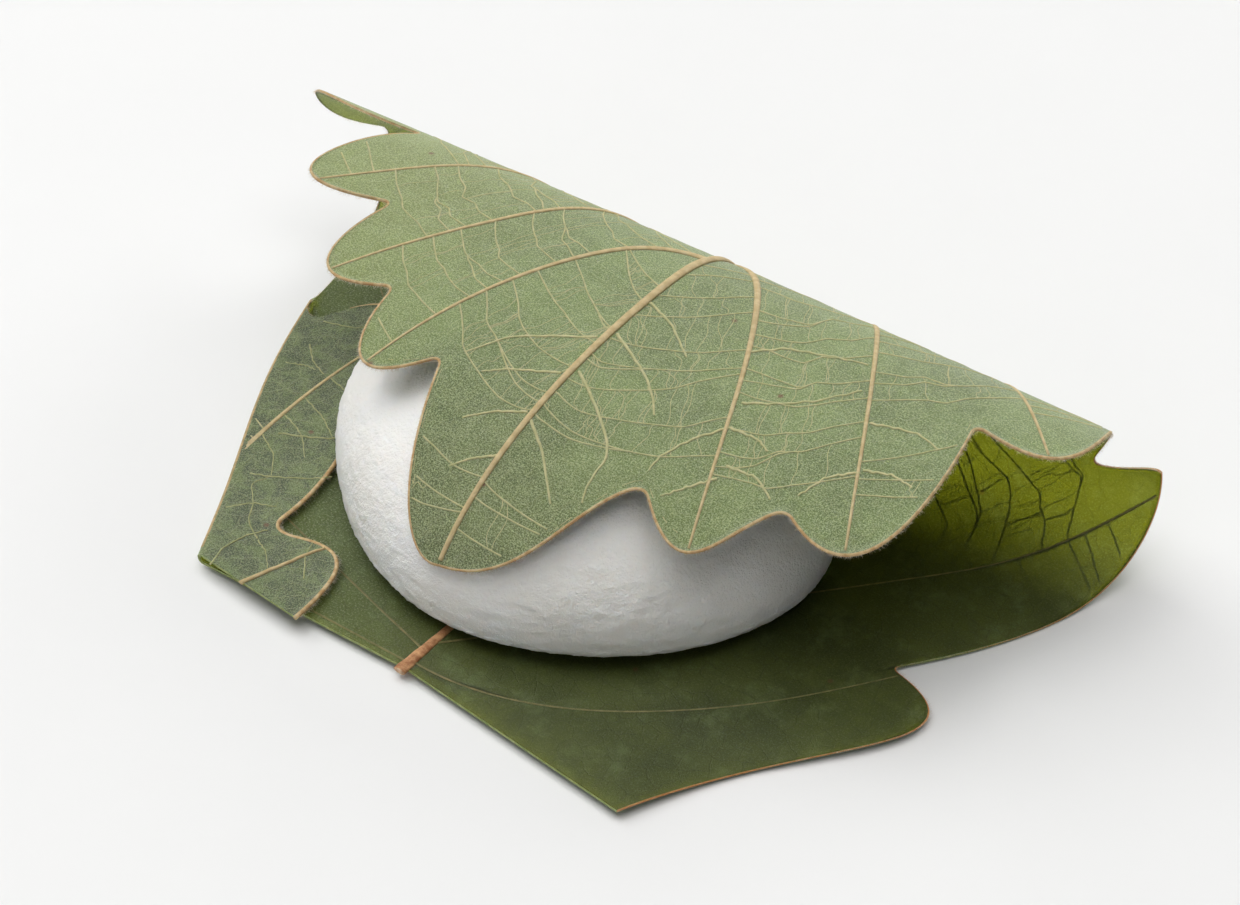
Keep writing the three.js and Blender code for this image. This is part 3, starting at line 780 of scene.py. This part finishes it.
# ---- the veins ----
def rib_grid(side, path, width, height, swell, face, sides):
    """Raised veins: an oval profile carried along flat paths and set on one face of the leaf. Each path
    comes with its widths, its heights and the swell of the blade under it."""
    angle = 2 * np.pi * np.arange(sides) / sides
    forward = unit(np.gradient(path, axis=-2))
    across = (width[..., None] / 2 * np.cos(angle))[..., None]
    flat = path[..., None, :] - beside(forward)[..., None, :] * across
    rise = np.where(np.sin(angle) > 0, height[..., None] * np.sin(angle), 0.1 * np.sin(angle))
    points = leaf_point(side, flat, swell[..., None] + face * (LEAF_THICKNESS / 2 + rise))
    return points, flat * [side, 1]


def back_height(path):
    """1 on the cover, falling to 0 at the roll's back, where the veins are pressed flat: 1 - exp(-u^2)."""
    return clear_of_table(path) * (1 - np.exp(-((path[..., 1] - BACK_AT) / BACK_SPREAD) ** 2))


def ribs(name, material, lines, face, sides=10):
    """One piece of several raised veins."""
    leaf_piece(name, *joined([rib_grid(*line, face, sides) for line in lines]), [material])


def midrib_path():
    """The midrib, from just inside the cut base almost to the tip."""
    along = np.linspace(0.3, 162.6, 400)
    return np.stack([np.zeros(400), along], axis=-1)


def side_vein_paths(half, steps=120):
    """The side veins of one half, each along its own row."""
    place = half["veins"][1:-1, 0]
    share = np.linspace(0.0, 0.993, steps)
    return flat_at(half, place[:, None], share[None])


def cross_vein_lines(half, spacing, seed):
    """Cross veins of one half. Between two side veins they are levels of the distance along the veins' mean
    way, bowed outwards and broken by small kinks; each row is read at the share where it reaches the level.
    Every third one forks, and thin links run along the rows from each to the next."""
    rng = np.random.default_rng(seed)
    places = half["veins"][:, 0]
    share = np.linspace(0, 0.975, 100)
    u = np.linspace(0, 1, CROSS_STEPS)
    lines, links = [], []
    for first, last in zip(places[:-1], places[1:]):
        row = mix(first, last, u)
        flat = flat_at(half, row[:, None], share[None])
        way = unit(unit(flat[0, -1] - flat[0, 0]) + unit(flat[-1, -1] - flat[-1, 0]))
        level = flat @ way
        gap = np.linalg.norm(flat[-1, 40] - flat[0, 40])
        base = np.arange(level.min() + 2, level.max(), spacing)
        base = base + rng.uniform(-0.2, 0.2, len(base)) * spacing
        knots = np.linspace(0, 1, 7)
        kinks = rng.normal(0, 0.45, (len(base), 7)) * np.sin(np.pi * knots) ** 0.5
        moved = [knots + 0.02 * np.sin(9 * knots + k) for k in range(len(kinks))]
        bends = np.array([np.interp(u, at, kink) for at, kink in zip(moved, kinks)])
        tilt = rng.uniform(-0.1, 0.18, len(base))[:, None] * gap * (u - 0.5)
        wanted = base[:, None] + bends + tilt + 0.09 * gap * 4 * u * (1 - u)
        forks = wanted[::3] + np.maximum(u - 0.4, 0) * spacing * 0.85
        for group, start in ((wanted, 0), (forks, 16)):
            found = np.stack([np.interp(group[:, j], level[j], share) for j in range(CROSS_STEPS)], axis=1)
            inside = (group > level[:, 0]) & (group < level[:, -1]) & (np.arange(CROSS_STEPS) >= start)
            begin, end = inside.argmax(axis=1), CROSS_STEPS - 1 - inside[:, ::-1].argmax(axis=1)
            whole = (inside.sum(axis=1) == end - begin + 1) & (end - begin > 5)
            ends = zip(u[begin[whole]], u[end[whole]])
            at = np.array([np.linspace(a, b, CROSS_STEPS) for a, b in ends])
            if len(at):
                read = np.array([np.interp(x, u, y) for x, y in zip(at, found[whole])])
                place = mix(first, last, at)
                path = flat_at(half, place, read)
                lines.append((half["side"], path, swell_at(half, place, path)))
            if start == 0:
                both = np.flatnonzero(whole[:-1] & whole[1:])
                which = np.repeat(both, max(1, int(gap / 3.4)))
                if len(which):
                    x = rng.uniform(0.06, 0.94, len(which))[:, None]
                    v = np.linspace(0, 1, LINK_STEPS)[None]
                    lean = rng.uniform(-0.05, 0.05, len(which))[:, None]
                    across = np.clip(x + lean * v + 0.01 * np.sin(7 * v + 40 * x), 0.0, 1.0)
                    tied = [zip(across[:, -n], which + n) for n in (0, 1)]
                    low, high = (np.array([[np.interp(b, u, found[k])] for b, k in pairs]) for pairs in tied)
                    place = mix(first, last, across)
                    path = flat_at(half, place, mix(low, high, v))
                    links.append((half["side"], path, swell_at(half, place, path)))
    return lines, links


def cross_veins():
    """The cross veins and their links on the outer face, where it stands off the table."""
    lines, links = [], []
    for half, seed in ((RIGHT, 5), (LEFT, 8)):
        crossing, linking = cross_vein_lines(half, CROSS_SPACING, seed)
        kinds = ((lines, crossing, CROSS_WIDTH, CROSS_HEIGHT), (links, linking, LINK_WIDTH, LINK_HEIGHT))
        for kept, found, width, height in kinds:
            for side, path, swell in found:
                clear = clear_of_table(path, side)
                seen = clear.max(axis=1) > 0.1
                if side < 0:
                    seen &= (beyond_crease(path) > 0).mean(axis=1) < 0.2
                path, clear, swell = path[seen], clear[seen], swell[seen]
                kept.append((side, path, width + 0 * clear, height * back_height(path), swell))
    ribs("cross_veins", CROSS_VEIN, lines, -1, 6)
    ribs("vein_links", CROSS_VEIN, links, -1, 6)


# Veins of the part turned in past the crease, on the left half: points on the flat leaf, and the width.
TURNED_VEINS = [
    (0.75, [(40.6, -8.6), (45.2, -6.9), (47.7, -6.1), (50.3, -5.1), (53.4, -4.4)]),
    (0.34, [(52.9, 20.6), (56.6, 18.8), (60.1, 17.5), (64, 16.8)]),
    (0.34, [(37.5, -3.9), (39.7, -0.9), (43.2, 0.8), (46.6, 1.2)]),
    (0.26, [(44.7, -0.5), (45.3, -3.0), (44.9, -6.6)]),
    (0.3, [(46.7, 13.4), (49.4, 11.9), (54.5, 10.1), (58, 9.6)]),
    (0.3, [(41.7, 7.3), (45.7, 7.2), (48.7, 5.5)]),
    (0.3, [(61.1, 39.2), (61.2, 35.0), (62.3, 31.5)]),
    (0.26, [(44.7, -0.5), (44.2, 3.8), (45.8, 7.2), (46.4, 11.2), (49.4, 11.9)]),
    (0.3, [(54.8, 24.5), (55.9, 21.3), (56.2, 18.9), (55.2, 14.3)]),
    (0.28, [(58.6, 27.4), (60.2, 22.3), (60.4, 17.5)]),
    (0.26, [(62.9, 31.0), (65.4, 25.8), (65.0, 22.2)]),
    (0.26, [(57.2, 35.5), (60.0, 34.2), (61.3, 32.9)]),
    (0.26, [(50.7, 20.9), (51.2, 16.4), (49.6, 12.0)]),
    (0.26, [(63.1, 44.5), (67.3, 41.9), (71.8, 41.2)]),
    (0.24, [(49.2, -9.8), (50.3, -5.2), (52.3, -2.3)]),
]


# The stronger cross veins of the cover, on either half: points on the flat leaf.
RIGHT_COVER_VEINS = [
    [(0.6, 121.6), (6.1, 124.6), (9.2, 126.5), (12.4, 129.4), (14.3, 131.8)],
    [(0.6, 130.1), (5.6, 133.4), (11.3, 138.1), (13, 140.7), (13, 144.8), (14, 147.9)],
    [(0.4, 140.3), (4.8, 143.7), (10.5, 150)],
    [(0.4, 113.8), (5.7, 116), (11.5, 120.6)],
    [(24, 128.5), (20.9, 132.7), (19, 137), (18.9, 139.6)],
    [(24, 128.5), (28.4, 128.2), (30.6, 129.3)],
    [(27.6, 136.2), (24.9, 139.4), (22.6, 142.2)],
    [(27.2, 134.1), (31.8, 133.6), (35.4, 135.6)],
    [(22.6, 124), (26.1, 121.8), (30.5, 118.1), (34.4, 112.8)],
    [(17.7, 115.1), (21.2, 111.2), (26.6, 109.3), (32, 107.8)],
    [(38.6, 118), (41.6, 116.8), (45.1, 115.9), (49, 117)],
    [(42.7, 126), (39.5, 129), (38, 133.5)],
    [(42.7, 125.6), (46.5, 124.2), (49.7, 124.6)],
]
LEFT_COVER_VEINS = [
    [(0.6, 123.6), (6.3, 126.5), (11.2, 129.6), (13.4, 133.1), (14.8, 135.1)],
    [(0.6, 131.6), (7.6, 134.4), (10.7, 136.6)],
    [(0.6, 139.4), (4.9, 141.3), (8.3, 144)],
    [(0.3, 146.9), (3.4, 148.8), (5.6, 151)],
]


def wandering(corners, sway, phase):
    """A path through a few flat points, its corners eased by a running mean, with a fine sway across it."""
    t = np.linspace(0, 1, 56)
    corners = np.array(corners, float)
    path = np.stack([np.interp(t, np.linspace(0, 1, len(corners)), corners[:, k]) for k in (0, 1)], axis=-1)
    padded = np.pad(path, ((3, 3), (0, 0)), mode="edge")
    path = sum(padded[k:k + 56] for k in range(7)) / 7
    return path + sway * (np.sin(31 * t + phase) + 0.6 * np.sin(53 * t + 2 * phase))[:, None] * [0.6, 0.8], t


def swell_under(half, path):
    """The blade's swell at flat points: that of the nearest of many places laid over the cover's rows."""
    place = np.linspace(half["veins"][-1, 0] - 4.6, half["veins"][-1, 0], 300)[:, None]
    flat = flat_at(half, place, np.linspace(0, 1, 80)[None])
    known = swell_at(half, place, flat).ravel()
    away = ((flat.reshape(-1, 1, 2) - path[None]) ** 2).sum(axis=-1)
    return known[away.argmin(axis=0)]


def outer_veins():
    """Midrib and side veins on the outer face, tapering outwards, where it stands off the table."""
    path = midrib_path()
    t = np.linspace(0, 1, len(path))
    lines = [(1, path, mix(*MIDRIB_WIDTHS, t**1.3), mix(*MIDRIB_HEIGHTS, t**1.3) * back_height(path), 0 * t)]
    for half in (RIGHT, LEFT):
        paths = side_vein_paths(half)
        t = np.linspace(0, 1, paths.shape[1])[None]
        if half["side"] < 0:
            paths = paths[1:]
        clear = np.maximum(back_height(paths), clear_of_table(paths, half["side"]) - clear_of_table(paths))
        width, height = mix(*VEIN_WIDTHS, t) + 0 * clear, mix(*VEIN_HEIGHTS, t) * clear
        lines.append((half["side"], paths, width, height, 0 * clear))
    thin = []
    for width, corners in TURNED_VEINS:
        path, t = wandering(corners, 0.06, 50 * width)
        line = (-1, path, width * mix(1, 0.5, t), 0.4 * width * clear_of_table(path, -1), 0 * t)
        (lines if width > 0.5 else thin).append(line)
    ribs("turned_branches", TURNED_VEIN, thin, -1, 8)
    thin = []
    halves = [RIGHT] * len(RIGHT_COVER_VEINS) + [LEFT] * len(LEFT_COVER_VEINS)
    for number, (half, corners) in enumerate(zip(halves, RIGHT_COVER_VEINS + LEFT_COVER_VEINS)):
        path, t = wandering(corners, 0.09, 2.3 * number)
        swell = swell_under(half, path)
        height = mix(*BRANCH_HEIGHTS, t) * back_height(path)
        thin.append((half["side"], path, mix(*BRANCH_WIDTHS, t), height, swell))
    ribs("branch_veins", CROSS_VEIN, thin, -1, 8)
    share = np.linspace(0.02, 0.98, 160)
    past = (crease_sway(share) + FOLD_LINE_AT)[:, None]
    fold = CREASE_FOOT + share[:, None] * CREASE_SPAN + past * CREASE_AWAY
    none = 0 * share
    ribs("fold_line", CREASE_LINE, [(-1, fold, FOLD_LINE_WIDTH + none, FOLD_LINE_HEIGHT + none, none)], -1, 8)
    ribs("outer_veins", OUTER_VEIN, lines, -1)


def inner_veins():
    """The side veins on the inner face, lower and narrower."""
    lines = []
    for half in (RIGHT, LEFT):
        paths = side_vein_paths(half)
        t = np.linspace(0, 1, paths.shape[1])[None] + 0 * paths[..., 0]
        lines.append((half["side"], paths, mix(*INNER_WIDTHS, t), mix(*INNER_HEIGHTS, t), 0 * t))
    ribs("inner_veins", INNER_VEIN, lines, 1)


def stub():
    """The midrib on the inner face, thick at the base: an oval profile, its half width falling from 0.95 to
    0.25 and its height from 0.5 to 0.1, that stands out past the cut base and ends in a cut face."""
    t = np.linspace(0, 1, 260) ** 1.6
    along = mix(-1.0, 162.0, t)
    angle = 2 * np.pi * np.arange(16) / 16
    fall = np.exp(-np.maximum(along, 0) / 14)
    wobble = 1 + 0.05 * np.sin(3 * angle + 2 * along[:, None]) * fall[:, None]
    wide = mix(0.25, 0.95, fall)[:, None] * np.cos(angle) * wobble
    above, below = mix(0.1, 0.5, fall)[:, None], mix(0.05, 0.42, fall)[:, None]
    high = np.where(np.sin(angle) > 0, above, below) * np.sin(angle)
    flat = np.stack([wide, along[:, None] + 0 * wide], axis=-1)
    points = leaf_point(1, flat, mix(0.2, 0.16, fall)[:, None] + high * wobble)
    faces = tube_faces(points)
    kinds = np.zeros(len(faces))
    kinds = kinds + (faces < 16).all(axis=1)
    leaf_piece("inner_midrib", points, faces, flat, [MIDRIB_INSIDE, STUB_END], kinds)


# ---- the margin ----
def margin_pieces():
    """The rim of the leaf along each margin, flush with it: a round profile, one closed tube a side."""
    angle = 2 * np.pi * np.arange(10) / 10
    groups = []
    for half in (RIGHT, LEFT):
        count = len(half["corners"])
        path = margin_at(half, np.linspace(0, count - 1e-6, count * 110))
        forward = unit(np.gradient(path, axis=0))
        out = beside(forward)
        turned = smooth((1.95 - np.linspace(0, count, len(path))) * 8) * (half["side"] < 0)
        radius = LEAF_THICKNESS / 2 + 0.04 * back_height(path) ** 2 + 0.12 * turned
        flat = path[:, None] + out[:, None] * (radius[:, None] * (np.cos(angle) - 1))[..., None]
        points = leaf_point(half["side"], flat, radius[:, None] * np.sin(angle))
        groups.append((points, flat * [half["side"], 1]))
    leaf_piece("leaf_margin", *joined(groups), [MARGIN])


def margin_hairs():
    """Short hairs along the margins: each a thin four-sided cone on an arc. It leaves the rim in a
    direction between outwards and up, with a random lean along the margin, and tapers to its tip. Hairs
    that would stand out of the CAD model's box are left out."""
    rng = np.random.default_rng(21)
    groups = []
    for half in (RIGHT, LEFT):
        count = len(half["corners"])
        place = np.sort(rng.uniform(0.02, count - 0.02, int(count * 45 * HAIRS_PER_MILLIMETRE)))
        path = margin_at(half, place)
        forward = unit(margin_at(half, place + 0.005) - margin_at(half, place - 0.005))
        out = beside(forward)
        free = clear_of_table(path, half["side"]) + smooth((path[:, 0] - 44) / 10)
        turned = (half["side"] < 0) & (place < 1.9)
        length = rng.uniform(*HAIR_LENGTHS, len(path)) * np.clip(free, 0.25, 1) * np.where(turned, 1.4, 1)
        length = length[:, None]
        lean, rise = rng.uniform(-0.9, 0.9, len(path))[:, None], rng.uniform(-0.35, 0.8, len(path))[:, None]
        t = np.linspace(0, 1, HAIR_RINGS)
        reach = (length * t)[..., None]
        leaning = forward[:, None] * reach * (lean * t)[..., None]
        flat = path[:, None] + out[:, None] * (reach * 0.8 - 0.1) + leaning
        spine = leaf_point(half["side"], flat, 0.1 + length * rise * t**1.5)
        around = unit(np.cross(np.gradient(spine, axis=1), [0.3, 0.5, 0.8]))
        other = unit(np.cross(np.gradient(spine, axis=1), around))
        angle = 2 * np.pi * np.arange(HAIR_SIDES) / HAIR_SIDES
        wide = (HAIR_RADIUS / 1000 * (1 - 0.85 * t))[None, :, None, None]
        ring = around[:, :, None] * np.cos(angle)[:, None] + other[:, :, None] * np.sin(angle)[:, None]
        points = spine[:, :, None] + ring * wide
        low, high = np.array(cad_box[0]), np.array(cad_box[1])
        points = points[((points > low) & (points < high)).all(axis=(1, 2, 3))]
        groups.append((points, np.zeros((*points.shape[:-1], 2))))
    leaf_piece("margin_hairs", *joined(groups), [MARGIN_HAIR])


# ---- the cake ----
def cake_radius(angle):
    """The cake's reach at its widest: an oval in polar form, times 1 plus a few shallow waves."""
    long, deep = CAKE_LENGTH / 2, CAKE_DEPTH / 2
    oval = long * deep / np.hypot(deep * np.cos(angle), long * np.sin(angle))
    return oval * (1 + sum(share * np.cos(count * (angle - at)) for count, share, at in CAKE_WAVES))


def cake():
    """The cake: rings from the bottom through the widest height to the top, each at the reach times
    cos^(2/n) of its turn and at a height by sin^(2/n), with low uneven lumps along its skin."""
    ring = np.linspace(-1, 1, 2 * CAKE_RINGS + 1)[1:-1, None]
    angle = 2 * np.pi * np.arange(CAKE_SIDES)[None] / CAKE_SIDES
    turn = np.abs(ring) * np.pi / 2
    power = 2 / np.where(ring < 0, CAKE_BOTTOM_ROUND, CAKE_TOP_ROUND)
    height = np.where(ring < 0, CAKE_WIDEST - CAKE_BOTTOM, CAKE_TOP - CAKE_WIDEST)
    reach = cake_radius(angle) * np.cos(turn) ** power
    lumps = 0.12 * np.sin(5 * angle + 7 * ring) * np.sin(3 * angle - 9 * ring + 1.3)
    grit = np.random.default_rng(3).normal(0, 1, (2 * CAKE_RINGS - 1, CAKE_SIDES))
    grit = grit + 0.7 * np.roll(grit, 1, axis=1) + 0.7 * np.roll(grit, 1, axis=0)
    reach = reach + (lumps + 0.05 * grit) * np.cos(turn) ** 0.5 - 0.12
    x = CAKE_CENTRE[0] + reach * np.cos(angle + CAKE_TURN)
    y = CAKE_CENTRE[1] + reach * np.sin(angle + CAKE_TURN)
    z = CAKE_WIDEST + np.sign(ring) * height * np.sin(turn) ** power + 0 * angle
    skin = np.stack([x, y, z], axis=-1).reshape(-1, 3)
    poles = np.array([[*CAKE_CENTRE, CAKE_BOTTOM], [*CAKE_CENTRE, CAKE_TOP]])
    points = (np.concatenate([skin, poles]) + ORIGIN) / 1000
    numbers = np.arange(len(skin)).reshape(-1, CAKE_SIDES)
    bottom, top = np.full((1, CAKE_SIDES), len(skin)), np.full((1, CAKE_SIDES), len(skin) + 1)
    faces = quads_of(np.concatenate([bottom, numbers, top]), around=True)
    piece("rice_cake", "mochi", points, facing_out(points, faces), [CAKE_SKIN])


blade()
outer_veins()
cross_veins()
inner_veins()
stub()
margin_pieces()
margin_hairs()
cake()


# ---- table, light and camera ----
def table():
    """A pale table under the cake, with a very faint grain."""
    made, tree, shader = new_material("table", paint(244, 244, 243), Roughness=0.6)
    place = put(tree, "TexCoord").outputs["Object"]
    grain = noise(tree, place, 30.0, 3.0, 0.6)
    tree.links.new(tinted(tree, grain, paint(234, 234, 233), paint(231, 231, 230)), shader["Base Color"])
    mesh = bpy.data.meshes.new("table")
    reach = 3.0
    corners = [(-reach, -reach, 0), (reach, -reach, 0), (reach, reach, 0), (-reach, reach, 0)]
    mesh.from_pydata(corners, [], [(0, 1, 2, 3)])
    mesh.materials.append(made)
    new_object("table", mesh)


LIGHT_AIM = Vector((0, 0, 0.01))


def panel(name, place, size, power):
    """A soft square light at a place, turned to the part."""
    lamp = bpy.data.lights.new(name, "AREA")
    lamp.shape = "SQUARE"
    lamp.size = size
    lamp.energy = power
    thing = new_object(name, lamp)
    thing.location = place
    thing.rotation_euler = (LIGHT_AIM - Vector(place)).to_track_quat("-Z", "Y").to_euler()


CAMERA_AIM = Vector((0.0006, 0.0165, 0.0))
CAMERA_AWAY = 0.487
CAMERA_AZIMUTH = math.radians(37)
CAMERA_HEIGHT = math.radians(40)


def camera():
    """The camera, at the photograph's angle: turned round the part and raised above the table."""
    lens = bpy.data.cameras.new("camera")
    lens.lens = 100
    lens.sensor_width = 36
    lens.clip_start = 0.01
    thing = new_object("camera", lens)
    back = Vector((
        math.sin(CAMERA_AZIMUTH) * math.cos(CAMERA_HEIGHT),
        -math.cos(CAMERA_AZIMUTH) * math.cos(CAMERA_HEIGHT),
        math.sin(CAMERA_HEIGHT),
    ))
    thing.location = CAMERA_AIM + back * CAMERA_AWAY
    thing.rotation_euler = back.to_track_quat("Z", "Y").to_euler()
    bpy.context.scene.camera = thing


table()
camera()
LIGHTS = [
    ("overhead", (0, 0, 2.2), 2.4, 35.0),
    ("left and above", (-1.5, 0, 2.0), 2.0, 30.0),
    ("left", (-2.2, 0.4, 1.1), 1.8, 12.8),
    ("behind", (0.3, 2.2, 0.7), 1.5, 25.0),
    ("in front", (0.3, -2.0, 1.5), 2.0, 10.0),
]
for light in LIGHTS:
    panel(*light)
world = bpy.data.worlds.new("room")
world.use_nodes = True
sky = world.node_tree.nodes["Background"].inputs
sky["Color"].default_value = (1, 1, 1, 1)
sky["Strength"].default_value = 0.02
bpy.context.scene.world = world
bpy.context.scene.view_settings.view_transform = "Standard"
